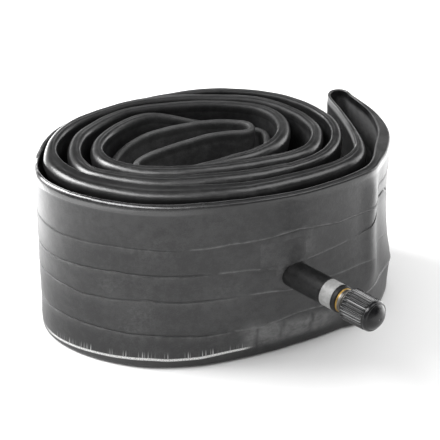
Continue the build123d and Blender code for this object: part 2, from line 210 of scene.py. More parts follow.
# ---- Half thickness of the tube on either side -------------------------------------------------
def strand_gaps(stride=10, same_strand=9.0, none=99.0, most=12.0, sideways=0.45):
    """Plan distance to the nearest other strand on the left and on the right."""
    xy, left, at = line_xy[::stride], to_left[::stride], even[::stride]
    gaps = np.full((2, len(xy)), none)
    for i in range(len(xy)):
        offset = xy - xy[i]
        distance = np.hypot(*offset.T)
        apart = np.abs(at - at[i])
        apart = np.minimum(apart, LENGTH - apart)
        distance[apart < same_strand] = none
        side = (offset @ left[i]) / np.maximum(distance, 1e-6)
        for row, sign in enumerate((1, -1)):
            gaps[row, i] = np.where(sign * side > sideways, distance, none).min()
    at = np.r_[at, LENGTH]
    return [smooth_loop(np.minimum(np.interp(even, at, np.r_[gap, gap[0]]), most), 1.0)
            for gap in gaps]


def shared_gap(gap, outwards):
    """Half the gap, or more of it on a side that looks outwards."""
    clearance = np.interp(even, [938, 956, 1000, 1018], [2.1, 1.2, 1.2, 2.1])
    half = gap / 2 - AIR
    return np.where(outwards > 0.5, np.maximum(half, gap - clearance), half)


def bend_room(bend, least):
    """Limit inside a tight turn, from the turn's radius."""
    return np.where(bend > 0.05, np.maximum(1 / np.maximum(bend, 1e-3) - 0.45, least), 9)


gap_left, gap_right = strand_gaps()
core = window(even, 496, 522, 708, 732)      # innermost strands, the thinnest
most_out = np.interp(even,
                     [318, 345, 480, 500, 740, 900, 935, 958, 990, 1012, 1045, 1060, 1086],
                     [2.1, 2.5, 2.5, 2.0, 2.2, 2.2, 2.4, 4.2, 4.2, 3.3, 2.6, 1.9, 1.7])
most_out = blend(most_out, 1.20, core)
most_in = blend(1.72, 1.10, core)
room_left = np.minimum(blend(most_in, most_out, outward), shared_gap(gap_left, outward))
room_right = np.minimum(blend(most_out, most_in, outward), shared_gap(gap_right, 1 - outward))

# the outer strand has measured thicknesses
on_outer = even < OUTER_END
outer_right = np.interp(
    even,
    [0, 12, 24, 32, 38, 44, 50, 60, 75, 93, 118, 144, 160, 175, 190, 215, 260, OUTER_END],
    [-0.60, -0.10, 1.5, 2.7, 2.75, 2.1, 1.30, 0.95, 0.85, 1.25, 0.65, 0.45, 0.45, 0.7, 1.15, 1.5,
     1.7, 1.8])
room_right = np.where(on_outer, np.minimum(outer_right, gap_right / 2 - AIR), room_right)
outer_left = np.interp(even, [0, 12, 260, OUTER_END], [1.6, 1.7, 1.7, 1.8])
room_left = np.where(on_outer, outer_left, room_left)

# the return fold at the back right is pinched thin round its hollow
unpinched = np.interp(even, [1030, 1048, 1064, LENGTH], [1, 1, 0.0, 0.0])
pinched = np.minimum(room_right, np.interp(even, [1060, 1072, LENGTH], [0.30, -0.40, -0.60]))
room_right = blend(pinched, room_right, unpinched)
room_left = np.where(even > 1050, np.minimum(room_left, 1.55), room_left)
room_left = np.maximum(room_left, 0.75)
room_right = np.maximum(room_right, np.where((even < 30) | (even > 1040), -0.7, 0.35))
room_left = np.minimum(room_left, bend_room(curvature, 0.8))
room_right = np.minimum(room_right, bend_room(-curvature, 0.35))
room_left = smooth_loop(room_left, 1.8) * (1 + 0.014 * wave_noise(9, 14, 60, seed=3))
room_right = smooth_loop(room_right, 1.8) * (1 + 0.014 * wave_noise(9, 14, 60, seed=4))

# ---- Heights of the two edges ------------------------------------------------------------------
FLOOR_GAP = 0.02
even_top = (smooth_loop(line[:, 2], 2.0) + 0.10 * wave_noise(10, 25, 120, seed=5)
            + 0.035 * wave_noise(12, 7, 18, seed=6))
even_bottom = np.maximum(0.35 + 0.30 * wave_noise(10, 25, 120, seed=8), FLOOR_GAP)
even_bottom[even < 330] = 0.03
even_bottom = np.maximum(smooth_loop(even_bottom, 3), FLOOR_GAP)

# ---- Lines left along the walls by the mould's wrapping ----------------------------------------
# Left wall, lowest first: general height, seed, then stations along the tube with the line's
# height, then stations with its relief (below zero a groove, above zero a raised flash) and the
# relief elsewhere.
LEFT_LINES = [
    (11.8, 21,
     [43, 58, 66, 75, 87, 96, 104, 118, 129, 146],
     [11.5, 12.6, 14.4, 14.6, 12.2, 11.8, 11.0, 11.3, 11.2, 12.2],
     [20, 60, 70, 100, 110, 160], [0.20, 0.18, 0.10, -0.20, -0.30, -0.26], -0.2),
    (23.6, 22,
     [40, 50, 62, 72, 80, 90, 106, 113, 119, 130, 140, 146],
     [25.0, 24.6, 24.4, 24.3, 24.4, 24.6, 23.8, 23.6, 24.4, 23.2, 22.8, 23.7],
     [20, 60, 70, 88, 98, 160], [0.04, 0.05, 0.05, 0.10, -0.22, -0.34], -0.2),
    (33.0, 23,
     [40, 43.5, 47.9, 50.5, 56.2, 61.5, 71.7, 87.6, 91, 107, 118, 129, 139, 146],
     [43.0, 42.0, 40.4, 37.0, 35.4, 35.0, 34.0, 33.4, 33.8, 32.9, 32.9, 33.4, 32.9, 32.4],
     [20, 48, 60, 88, 100, 106, 160], [-0.35, -0.34, 0.10, 0.20, 0.05, -0.34, -0.26], -0.2),
    (42.6, 24,
     [30, 44, 50, 58.6, 62, 75, 87, 96, 104, 113, 118, 129, 139, 146],
     [49.0, 47.0, 43.6, 43.4, 43.3, 45.0, 43.7, 43.3, 42.3, 42.0, 42.4, 42.7, 42.2, 41.9],
     [20, 60, 90, 104, 112, 160], [0.14, 0.20, 0.22, 0.14, -0.12, -0.20], -0.18),
]
RIGHT_LINES = (12.4, 23.0, 33.6, 43.6)
LINE_ROWS = (-0.85, -0.42, -0.18, 0.0, 0.18, 0.42, 0.85)    # rows of points across a line
LINE_HALF = LINE_ROWS[-1]


def line_height(level, seed, stations, heights, ease=14):
    wandering = level + 0.35 * wave_noise(8, 40, 300, seed)
    measured = np.interp(even, stations, heights)
    first, last = stations[0], stations[-1]
    share = ramp(np.minimum(even - first, last - even), -ease, 0)
    return blend(wandering, measured, share) + 0.05 * wave_noise(14, 6, 22, seed + 50)


def line_relief(stations, reliefs, elsewhere):
    inside = (even >= stations[0]) & (even <= stations[-1])
    return smooth_loop(np.where(inside, np.interp(even, stations, reliefs), elsewhere), 2.5)


# ---- Columns: close together at the front and in the turns -------------------------------------
spacing = np.where((even > 35) & (even < 165), 0.80, np.where(even < 190, 1.0, 1.55))
spacing = np.minimum(spacing, np.maximum(0.22 / np.maximum(np.abs(curvature), 1e-3), 0.30))
spacing = smooth_loop(spacing, 3)
counted = np.r_[0, np.cumsum(EVEN_STEP / spacing)]
COLUMNS = int(counted[-1])
# distance along the tube of each column
along = np.interp(np.arange(COLUMNS) / COLUMNS * counted[-1], counted, np.r_[even, LENGTH])


def at_columns(signal, gain=0.0):
    """An even signal at the columns; gain is what it grows by over one loop."""
    return np.interp(along, np.r_[even, LENGTH], np.r_[signal, signal[0] + gain])


column_x, column_y = at_columns(line[:, 0]), at_columns(line[:, 1])
column_heading = at_columns(heading, gain=TAU * full_turns)
left_x, left_y = -np.sin(column_heading), np.cos(column_heading)
half_left, half_right, top_z, bottom_z, outwards = (
    at_columns(v) for v in (room_left, room_right, even_top, even_bottom, outward))
left_lines = [at_columns(line_height(*entry[:4])) for entry in LEFT_LINES]
left_reliefs = [1.3 * at_columns(line_relief(*entry[4:])) for entry in LEFT_LINES]
left_reliefs[0] = blend(left_reliefs[0], 0.30, window(along, 56, 61, 91, 97))
right_lines = [at_columns(level + 0.4 * wave_noise(8, 40, 300, seed=31 + k))
               for k, level in enumerate(RIGHT_LINES)]
valve_column = int(np.argmin(np.hypot(column_x - VALVE_BASE[0], column_y - VALVE_BASE[1])
                             + 1e3 * (along > 300)))

# ---- Shape of the outer strand's front wall ----------------------------------------------------
# Broad swellings: size outwards, place along the tube, width, height, width in height
SWELLINGS = ((2.2, 27.0, 13.0, 6, 13), (1.1, 77.0, 14.0, 9.0, 4.0), (0.5, 30.0, 9.0, 13.0, 5.0),
             (-0.55, 158, 16, 38, 14))
# Three short folds across the lower edge below the valve: place, depth
FOLDS = ((86.8, 0.34), (78.2, 0.42), (69.6, 0.30))
# Short upright creases: place along the tube, lower end, upper end, size outwards, width
CREASES = ((77.3, 5.5, 12.8, -0.16, 0.8), (85.7, 5.0, 13.0, -0.13, 0.8),
           (68.3, 5.5, 13.0, -0.15, 0.7), (87.5, 34.0, 43.0, -0.16, 0.55),
           (70.6, 36.5, 46.0, -0.06, 0.5), (79.4, 45.5, 52.5, -0.07, 0.6),
           (86.8, 47.5, 53.5, 0.10, 0.6), (108.0, 16, 22, 0.05, 0.9), (112.5, 34, 41, 0.05, 0.7))


def wall_bulge(z):
    """Displacement of the outer strand's outer face at height z, outwards positive."""
    s = along
    front = window(s, 30, 44, 157, 175)
    # lower edge: tucks under at the right by the valve, swells at the front left
    edge = np.interp(s, [30, 48, 57, 74, 90, 104, 120, 135, 155, 175],
                     [0.3, 0.2, -2.9, -3.0, -1.2, 0.75, 1.35, 1.25, 0.3, 0.0])
    bulge = front * edge * ramp(z, 12.5, 0.5)
    # hollow just under the top bead, and a slow sag of the wall
    bulge += -0.32 * front * bell(z, 52.3, 2.6)
    bulge += front * 0.35 * bell(z, 36, 9) * np.sin(s / 11.0 + 0.6)
    bulge += front * 0.25 * bell(z, 18, 7) * np.sin(s / 8.3 + 2.1)
    # leaning upright buckle at the right, where the wall turns the corner
    bulge += 1.25 * bell(s, 49.0 + (z - 30) * 0.06, 3.0) * window(z, 10, 24, 49, 56)
    bulge += -0.95 * bell(s, 42.0 + (z - 30) * 0.10, 3.2) * window(z, 8, 18, 48, 57)
    bulge += 0.9 * bell(s, 33.0 + (z - 30) * 0.16, 5.0) * bell(z, 20, 13)
    for size, place, width, height, tall in SWELLINGS:
        bulge += size * bell(s, place, width) * bell(z, height, tall)
    for place, depth in FOLDS:
        lean = place + (z - 8) * 0.10
        fold = 0.22 * bell(s, lean + 1.9, 1.3) - depth * bell(s, lean, 0.75)
        bulge += fold * bell(z, 8.2, 3.2)
    return bulge


def wall_creases(z, ease=1.6):
    return sum(size * bell(along, place, width) * window(z, low, low + ease, high - ease, high)
               for place, low, high, size, width in CREASES)


def valve_collar(x, y, z):
    """Raised rubber around the foot of the valve, by distance from the valve's axis."""
    foot = 4.9
    offset = np.stack([x - VALVE_BASE[0], y - VALVE_BASE[1], z - VALVE_BASE[2]], -1)
    out = offset @ AXIS
    up = offset @ AXIS_UP
    side = offset @ AXIS_SIDE
    beyond = np.sqrt(np.maximum((offset**2).sum(-1) - out**2, 0)) - foot
    height = 0.50 - 0.10 * np.clip(up / 5, -1, 1) + 0.75 * np.clip(-side / 5, -1, 1)
    rim = height * bell(np.maximum(beyond, 0), 0, 1.15)
    skirt = 0.40 * np.exp(-np.clip(beyond, 0, 50) / 3.4)
    # wrinkle that runs into the rim from the left of the stem
    wrinkle = bell(up, 1.6 + 0.06 * (side + 5), 1.0) * window(side, -13.5, -9.5, -5.8, -4.2)
    return np.where(np.abs(out) < 9, rim + skirt + wrinkle, 0)


# ---- Section of the tube -----------------------------------------------------------------------
def wall_rows(lines, per_band):
    """Rows up a wall between the beads: (heights, line number or None, offset from the line)."""
    rows = [(bottom_z + BEAD, None, 0.0)]

    def fill(low, high):
        for q in range(1, per_band):
            rows.append((low + (high - low) * q / per_band, None, 0.0))

    band_low = bottom_z + BEAD
    for number, height in enumerate(lines):
        fill(band_low, height - LINE_HALF)
        rows.extend((height + offset, number, offset) for offset in LINE_ROWS)
        band_low = height + LINE_HALF
    fill(band_low, top_z - BEAD)
    rows.append((top_z - BEAD, None, 0.0))
    return rows


def wall_half(z, bead_half, middle_half):
    """Half thickness up the wall: full in the two beads, thinner between."""
    near_edge = np.maximum(ramp(z, top_z - 10.0, top_z - 2.5), ramp(z, bottom_z + 9, bottom_z + 2))
    return blend(middle_half, bead_half, near_edge)


def quarter(degrees, inset, rise):
    """Quarter round from a wall: (distance in from the wall, rise) at each angle."""
    return [(inset * (1 - math.cos(math.radians(a))), rise * math.sin(math.radians(a)))
            for a in degrees]


def crown(outer, inner):
    """Fold along the top, outer wall first: outer shoulder, shallow valley, inner shoulder.
    Sideways places are positive outwards and heights are measured from the crest."""
    points = [(outer, -BEAD + (BEAD - shoulder_rise - crest_drop) * 0.5)]
    for inset, rise in quarter((0, 16, 32, 48, 64, 78, 90), shoulder, shoulder_rise):
        points.append((outer - inset, -shoulder_rise - crest_drop + rise))
    start, end = outer - shoulder, -inner + inner_round
    for share, depth in ((0.22, 0.55), (0.42, 0.98), (0.60, 0.98), (0.80, 0.55)):
        points.append((start + (end - start) * share, -crest_drop * (1 - share) - valley * depth))
    inner_rise = inner_round * 1.1
    for inset, rise in quarter((90, 68, 46, 22, 0), inner_round, inner_rise):
        points.append((-inner + inset, -inner_rise + rise))
    points.append((-inner, -1.5 - inner_round * 0.75))
    return points


def bottom_bead(left, right):
    """Rounded fold from the left wall under the edge to the right wall."""
    round_left, round_right = np.minimum(1.0, thick * 0.42), np.minimum(0.9, thick * 0.36)
    edge = bottom_z + BEAD
    centre_left, centre_right = bottom_z + round_left, bottom_z + round_right
    points = [(left, (edge + centre_left) / 2)]
    for inset, rise in quarter((0, 22, 45, 68, 90), round_left, round_left):
        points.append((left - inset, centre_left - rise))
    points.append(((left - round_left - right + round_right) / 2, bottom_z))
    for inset, rise in quarter((90, 68, 45, 22, 0), round_right, round_right):
        points.append((-right + inset, centre_right - rise))
    points.append((-right, (edge + centre_right) / 2))
    return points


outer_strand = along < OUTER_END
outer_share = ramp(along, OUTER_END + 20, OUTER_END - 10)
middle_left = np.where(outer_strand, half_left - 0.25, np.minimum(half_left * 0.85, 1.5))
thinnest = half_right - 0.05
middle_right = np.where(outer_strand, np.minimum(np.maximum(half_right - 0.25, 0.25), thinnest),
                        np.minimum(np.minimum(half_right * 0.85, thinnest), 1.5))
thick = half_left + half_right

# crown sizes: sharp on the outer strand, broader where the outer wall faces the front
outer_round = np.interp(along, [0, 20, 40, 60, 92, 108, 125, 165, 185, 318],
                        [0.7, 0.9, 0.8, 0.6, 0.75, 1.2, 1.55, 1.8, 1.7, 1.5])
front_side = ramp(-(2 * outwards - 1) * left_y, -0.35, 0.55)
back_side = 1 - front_side
shoulder = np.where(outer_strand, outer_round, np.minimum(1.70 + 0.9 * front_side, 0.60 * thick))
shoulder = np.minimum(shoulder, 0.66 * thick)
shoulder_rise = np.where(outer_strand, shoulder * 1.3,
                         np.minimum(1.75 + 1.1 * front_side, 0.80 * thick))
inner_round = np.where(outer_strand, np.minimum(0.9, 0.26 * thick),
                       np.minimum(0.40 + 0.95 * back_side, (0.20 + 0.16 * back_side) * thick))
valley = (np.clip((thick - 2.0) * 0.08, 0.0, 0.16) * (0.25 + 0.75 * front_side)
          * (1 + 0.25 * at_columns(wave_noise(8, 30, 120, seed=61))))
crest_drop = np.clip((thick - 2.0) * 0.06, 0.02, 0.12)
# part of the inner strands has an evenly rounded crown
even_crown = window(along, 498, 508, 628, 636)
shoulder = blend(shoulder, 0.50 * thick, even_crown)
shoulder_rise = blend(shoulder_rise, 0.62 * thick, even_crown)
inner_round = blend(inner_round, 0.46 * thick, even_crown)

wave_upper = at_columns(wave_noise(10, 18, 70, seed=41))
wave_shared = at_columns(wave_noise(10, 18, 70, seed=42))
wave_short = at_columns(wave_noise(10, 9, 30, seed=43))

# ---- Tube grid: up the left wall, over the crown, down the right wall, round the bottom --------
grid_rows, row_sides = [], []


def place(offset, z):
    return column_x + left_x * offset, column_y + left_y * offset, z


def add_row(offset, z, side):
    """Offset is sideways, left positive; side is 1 left wall, -1 right wall, 0 fold."""
    grid_rows.append(np.stack(place(offset, z), 1))
    row_sides.append(np.full(COLUMNS, side))


def follow(z):
    return outer_share * wall_bulge(z)


left_rows = wall_rows(left_lines, per_band=4)
right_rows = wall_rows(right_lines, per_band=3)
off_front = 1 - window(along, 20, 34, 167, 185)
near_valve = np.abs(along - along[valve_column]) < 22
for z, number, offset in left_rows:
    half = wall_half(z, half_left, middle_left) + follow(z) + wall_creases(z)
    # two local swellings under the top of inner strands
    half += 1.5 * bell(along, 837, 7) * bell(z, 45.5, 5)
    half += 1.2 * bell(along, 1055, 8) * bell(z, 44, 5.5)
    half += off_front * 0.16 * (wave_upper * bell(z, 40, 9) + wave_shared * bell(z, 17, 9))
    if number is not None:
        half += left_reliefs[number] * (bell(offset, 0, 0.26) - 0.35 * bell(offset, -0.42, 0.25))
    half += np.where(near_valve, valve_collar(*place(half, z)), 0)
    add_row(half, z, 1.0)

wall_top, wall_low = top_z - BEAD, bottom_z + BEAD
crown_left = wall_half(wall_top, half_left, middle_left) + follow(wall_top)
left_outside = crown(crown_left, half_right)
right_outside = reversed(crown(half_right, crown_left))
for (offset_a, rise_a), (offset_b, rise_b) in zip(left_outside, right_outside):
    add_row(blend(-offset_b, offset_a, outwards), top_z + blend(rise_b, rise_a, outwards), 0.0)

for z, number, offset in reversed(right_rows):
    half = wall_half(z, half_right, middle_right)
    ripple = wave_shared * bell(z, 38, 9) + wave_short * bell(z, 20, 9)
    half += (1 - outer_share) * 0.14 * ripple
    if number is not None:
        half -= 0.16 * bell(offset, 0, 0.26)
    # the outer strand's right face follows its left face
    add_row(follow(z) - half, z, -1.0)

bead_left = wall_half(wall_low, half_left, middle_left) + follow(wall_low)
bead_right = wall_half(wall_low, half_right, middle_right) - follow(wall_low)
for offset, z in reversed(bottom_bead(bead_left, bead_right)):
    add_row(offset, z, 0.0)

grid = np.stack(grid_rows, 0)                   # rows x columns x 3
ROWS = len(grid)


# ---- Mesh helpers ------------------------------------------------------------------------------
def grid_mesh(name, points, wrap_rows=True, wrap_columns=True):
    rows, columns = points.shape[:2]
    index = np.arange(rows * columns).reshape(rows, columns)
    if wrap_rows:
        index = np.vstack([index, index[:1]])
    if wrap_columns:
        index = np.hstack([index, index[:, :1]])
    quads = np.stack([index[:-1, :-1], index[:-1, 1:], index[1:, 1:], index[1:, :-1]], -1)
    quads = quads.reshape(-1, 4)
    mesh = bpy.data.meshes.new(name)
    mesh.vertices.add(rows * columns)
    mesh.vertices.foreach_set("co", (points.reshape(-1, 3) * MM).astype(np.float32).ravel())
    mesh.loops.add(quads.size)
    mesh.loops.foreach_set("vertex_index", quads.ravel().astype(np.int32))
    mesh.polygons.add(len(quads))
    mesh.polygons.foreach_set("loop_start", np.arange(0, quads.size, 4, dtype=np.int32))
    mesh.polygons.foreach_set("use_smooth", np.ones(len(quads), bool))
    mesh.update(calc_edges=True)
    mesh.validate()
    return mesh


def add_object(name, mesh):
    ob = bpy.data.objects.new(name, mesh)
    bpy.context.scene.collection.objects.link(ob)
    return ob


def cap_ends(bm):
    bmesh.ops.holes_fill(bm, edges=[e for e in bm.edges if e.is_boundary], sides=0)


def turn_outwards(mesh, open_ends=False):
    """Turns an inside-out mesh round, after closing its ends where they are open."""
    bm = bmesh.new()
    bm.from_mesh(mesh)
    if open_ends:
        cap_ends(bm)
    inside_out = bm.calc_volume(signed=True) < 0
    if inside_out:
        bmesh.ops.reverse_faces(bm, faces=bm.faces)
    if inside_out or open_ends:
        bm.to_mesh(mesh)
    bm.free()


def revolved(object_name, mesh_name, profile, steps, shape):
    """Closed (radius, distance) profile turned about the valve axis; shape(radius, distance,
    angles) gives the radius all round."""
    angles = np.linspace(0, TAU, steps, endpoint=False)
    spokes = np.cos(angles)[:, None] * AXIS_SIDE + np.sin(angles)[:, None] * AXIS_UP
    rows = [VALVE_BASE + AXIS * distance + shape(radius, distance, angles)[:, None] * spokes
            for radius, distance in profile]
    mesh = grid_mesh(mesh_name, np.stack(rows, 0))
    turn_outwards(mesh)
    return add_object(object_name, mesh)


# ---- Tube: what its material reads at each point -----------------------------------------------
def add_tube_attributes(mesh):
    def store(name, values):
        layer = mesh.attributes.new(name, "FLOAT", "POINT")
        values = np.broadcast_to(values, (ROWS, COLUMNS))
        layer.data.foreach_set("value", np.asarray(values, np.float32).ravel())

    x, y, z = np.moveaxis(grid, 2, 0)
    side = np.stack(row_sides, 0)
    left_wall = side > 0.5
    crest = (side == 0) & (z > 30)

    # pale worn line low on the front wall
    worn_z = np.interp(along, [88, 90.5, 96, 105, 114, 119, 131, 135, 141, 149, 154, 160],
                       [4.4, 4.2, 4.1, 3.4, 3.2, 3.5, 2.9, 2.8, 2.4, 2.0, 2.0, 2.2])
    store("along", along)
    store("worn", z - worn_z)
    store("worn_in", window(along, 88, 92, 150, 158) * (left_wall | ((side == 0) & (z < 10))))
    store("side", side)
    store("gloss", window(along, 95, 115, 166, 178) * crest)

    # powder film with painted light: paler below the valve, standing in for light from the front,
    # and above it, where it covers the stem's dark reflection; painted shade at three short
    # creases, where the paleness is taken out
    powder_and_painted_light = window(along, 58, 66, 88, 94) * window(z, 3, 5.5, 12, 13.6)
    powder_and_painted_light = np.clip(powder_and_painted_light + bell(along, 76.0, 5.5) * bell(z, 38.0, 4.6), 0, 1)
    for middle, bow in ((69.5, 1.0), (79.0, 1.4), (87.0, 0.8)):
        crease = bell(along - bow * bell(z, 8.0, 3.4), middle, 0.60)
        powder_and_painted_light = powder_and_painted_light * (1 - 0.9 * crease * ramp(z, 13.4, 12.2))
    # paler along raised lines and on the lower lip of grooves
    for height, relief in zip(left_lines, left_reliefs):
        above = z - height
        line_paleness = (0.95 * ramp(relief, 0.02, 0.10) * bell(above, 0.06, 0.26)
                  + 0.50 * ramp(relief, -0.08, -0.18) * bell(above, -0.52, 0.26))
        powder_and_painted_light = np.maximum(powder_and_painted_light, line_paleness * window(along, 28, 38, 165, 185))
    store("powder_and_painted_light", powder_and_painted_light * left_wall)

    # painted fill light: the inner strands, the hollow at the back-right fold and the top of that
    # fold get a lighter colour
    inner_strands = 0.7 * window(along, 500, 525, 715, 735)
    hollow = ramp(along, 44, 38) * (side < -0.5)
    fold_top = 0.45 * window(along, 14, 20, 41, 46) * crest
    store("inside", np.maximum(np.maximum(inner_strands, hollow), fold_top))
    dull_back = 0.7 * ramp(y, 8, 24) * ramp(x, 36, 28) * crest
    fold_wall = window(along, 1030, 1046, 1083.5, 1084.5) * left_wall
    store("shade", np.maximum(dull_back, np.maximum(fold_wall, 0.45 * even_crown)))


def add_tube_uv(mesh, strips=3, pad=0.004):
    """The tube's length is laid out in strips, one above the other."""
    layer = mesh.uv_layers.new(name="OFBake")
    row, column = np.divmod(np.arange(ROWS * COLUMNS), COLUMNS)
    edges = (np.roll(grid, -1, 0) - grid)[:, ::20]
    girth = np.r_[0, np.cumsum(np.linalg.norm(edges, axis=2).mean(1))]
    girth /= girth[-1]
    ends = np.r_[along, LENGTH]
    strip = np.minimum((ends[column] / LENGTH * strips).astype(int), strips - 1)

    def across(at):
        return pad + np.clip(ends[at] / LENGTH * strips - strip, 0, 1.02) * (1 - 3 * pad)

    def up(at):
        return (strip + pad * strips + girth[at] * (1 - 2 * pad * strips)) / strips

    corners = ((0, 0), (1, 0), (1, 1), (0, 1))
    uv = np.stack([np.stack([across(column + i), up(row + j)], -1) for i, j in corners], 1)
    layer.data.foreach_set("uv", uv.reshape(-1).astype(np.float32))


def build_tube():
    mesh = grid_mesh("tube_skin", grid)
    add_tube_attributes(mesh)
    add_tube_uv(mesh)
    turn_outwards(mesh)
    return add_object("inner_tube_rubber", mesh)


# ---- Reinforcing patch: a thin pad on the wall that fades into it at its edges -----------------
def build_patch(start=70.3, end=88.2, low=12.6, high=47.2):
    columns = np.where((along > start) & (along < end))[0]
    rows = [i for i, row in enumerate(left_rows) if low < row[0][valve_column] < high]
    wall = grid[rows][:, columns]
    normal = np.cross(np.gradient(wall, axis=1), np.gradient(wall, axis=0))
    normal /= np.linalg.norm(normal, axis=2)[:, :, None]
    out = np.array([left_x[valve_column], left_y[valve_column], 0])
    normal *= np.sign((normal * out).sum(-1))[:, :, None]
    s, z = along[columns], wall[:, :, 2]
    bottom, top = z.min(), z.max()
    fade = window(s, start, 74.8, 86.6, end) * window(z, bottom, bottom + 2.2, top - 2.2, top)
    # a firmer step at the left end
    fade = np.maximum(fade, window(s, start, 74.3, 86.4, end) * window(z, 32.5, 35, 42, 44.5))
    fade = fade * window(z, 31.6, 33.2, 42.3, 43.9)
    outer = wall + normal * (-0.30 + 0.38 * fade)[:, :, None]
    inner = wall - normal * 0.12
    shell = np.concatenate([outer, inner[::-1]], 0)
    mesh = grid_mesh("patch_skin", shell, wrap_columns=False)
    bm = bmesh.new()
    bm.from_mesh(mesh)
    cap_ends(bm)
    bmesh.ops.recalc_face_normals(bm, faces=bm.faces)
    bm.to_mesh(mesh)
    bm.free()
    for face in mesh.polygons:
        face.use_smooth = True
    return add_object("valve_patch_rubber", mesh)


# ---- Valve pieces: radii and distances along the valve axis ------------------------------------
def build_insert(pitch=25.4 / 32, radius=3.85, shank=3.2, bore=2.0, mouth=30.9):
    """Threaded insert, 32 threads per inch."""
    def threaded(r, distance, angles):
        full = np.full(len(angles), float(r))
        if r <= 3.0:
            return full
        phase = np.mod(distance / pitch - angles / TAU, 1.0)
        metal = np.clip(np.abs(phase - 0.5) * 2 * 1.35 - 0.18, 0, 1)     # flat-topped vee
        return full - (1 - metal) * 0.42 * window(distance, 21.6, 22.3, 30.4, 30.75)

    profile = [(2.9, 13.0), (shank, 13.3), (shank, 19.6), (radius, 19.6), (radius, 20.12),
               (radius - 0.40, 20.42), (radius - 0.42, 21.3)]
    profile += [(radius, float(v)) for v in np.arange(21.7, 30.46, 0.095)]
    profile += [(radius, 30.45), (radius - 0.2, 30.7), (radius - 0.42, mouth), (2.95, mouth),
                (2.65, mouth - 0.3), (2.65, mouth - 4.7), (bore, mouth - 6), (bore, 13.0)]
    return revolved("stem_insert_threaded", "insert_skin", profile, 56, threaded)


def build_jacket(radius=4.12, seat=3.9, bore=2.9, start=-2.2, end=20.26):
    """Rubber-covered stem: straight, with a shallow seat for the band and a rounded end."""
    def uneven(r, distance, angles):
        size = 0.035 if r > 3.7 and distance < 14 else 0
        return r + size * np.sin(3 * angles + distance * 0.4)

    profile = [(bore, start), (radius, start)]
    profile += [(radius, float(v)) for v in np.arange(-1.0, 14.3, 0.9)]
    profile += [(4.1, 14.33), (4.02, 14.40), (seat, 14.41), (seat, 18.59), (4.02, 18.60),
                (4.1, 18.68), (radius, 19.9), (4.05, 20.1), (3.9, 20.22), (3.6, end), (bore, end)]
    return revolved("stem_jacket_rubber", "jacket_skin", profile, 64, uneven)


def build_cap(ribs=28, depth=0.58):
    """Dust cap: moulded ribs, a groove, then a domed front with a faint step."""
    def ribbed(r, distance, angles):
        if r < 4.2:
            return np.full(len(angles), float(r))
        from_crest = np.abs(np.mod(angles * ribs / TAU, 1.0) - 0.5) * 2
        run = window(distance, 23.15, 23.5, 30.7, 30.95)
        return r - depth * run * ramp(from_crest, 0.20, 0.54)

    profile = [(4.05, 23.0), (4.5, 23.0), (4.80, 23.10), (4.93, 23.28)]
    profile += [(4.95 - 0.18 * k / 8, 23.5 + 7.0 * k / 8) for k in range(9)]
    profile += [
        (4.76, 30.7), (4.66, 30.86), (4.44, 30.98), (4.34, 31.08), (4.36, 31.2), (4.52, 31.3),
        (4.64, 31.45), (4.66, 31.7), (4.58, 32.0), (4.38, 32.3), (4.18, 32.46), (4.08, 32.46),
        (4.0, 32.42), (3.9, 32.5), (3.6, 32.88), (3.15, 33.28), (2.6, 33.6), (1.95, 33.86),
        (1.2, 34.05), (0.6, 34.12), (0.02, 34.14), (0.02, 31.8), (3.95, 31.8), (3.95, 23.4),
        (4.2, 23.02)]
    return revolved("dust_cap_moulded", "cap_skin", profile, ribs * 10, ribbed)


def build_spring(coils=8, start=19.45, length=5.70, radius=0.95, wire=0.13, end_wire=0.12):
    """Spring round the core pin."""
    turns = np.linspace(0, coils * TAU, coils * 26 + 1)
    ring = np.linspace(0, TAU, 8, endpoint=False)[:, None]
    rows = []
    for turn in turns:
        spoke = math.cos(turn) * AXIS_SIDE + math.sin(turn) * AXIS_UP
        centre = VALVE_BASE + AXIS * (start + length * turn / turns[-1]) + spoke * radius
        thickness = wire if 0 < turn < turns[-1] else end_wire
        rows.append(centre + thickness * (np.cos(ring) * spoke + np.sin(ring) * AXIS))
    mesh = grid_mesh("coil_wire", np.stack(rows, 0), wrap_rows=False)
    turn_outwards(mesh, open_ends=True)
    return add_object("core_spring_wire", mesh)


tube = build_tube()
patch = build_patch()
insert = build_insert()
jacket = build_jacket()
cap = build_cap()
spring = build_spring()


# ---- Shader graphs -----------------------------------------------------------------------------
class Graph:
    """Short ways to add nodes; a value may be a number or another node's output."""

    def __init__(self, tree):
        self.tree = tree
        tree.nodes.clear()

    def node(self, kind):
        return self.tree.nodes.new("ShaderNode" + kind)

    def feed(self, value, socket):
        if hasattr(value, "links"):
            self.tree.links.new(value, socket)
        else:
            socket.default_value = value

    def math(self, operation, a, b=0.0):
        node = self.node("Math")
        node.operation = operation
        self.feed(a, node.inputs[0])
        self.feed(b, node.inputs[1])
        return node.outputs[0]

    def add(self, a, b):
        return self.math("ADD", a, b)

    def mul(self, a, b):
        return self.math("MULTIPLY", a, b)

    def step(self, value, between, to=(0, 1), smooth=True):
        node = self.node("MapRange")
        if smooth:
            node.interpolation_type = "SMOOTHSTEP"
        self.feed(value, node.inputs["Value"])
        for name, number in zip(("From Min", "From Max", "To Min", "To Max"), (*between, *to)):
            node.inputs[name].default_value = number
        return node.outputs["Result"]

    def dot(self, vector, direction):
        node = self.node("VectorMath")
        node.operation = "DOT_PRODUCT"
        self.feed(vector, node.inputs[0])
        node.inputs[1].default_value = Vector(direction)
        return node.outputs["Value"]

    def split(self, vector):
        node = self.node("SeparateXYZ")
        self.feed(vector, node.inputs[0])
        return node.outputs

    def choose(self, kind, factor, a, b):
        node = self.node("Mix")
        node.data_type = kind
        self.feed(factor, node.inputs["Factor"])
        self.feed(a, node.inputs["A"])
        self.feed(b, node.inputs["B"])
        return node.outputs["Result"]


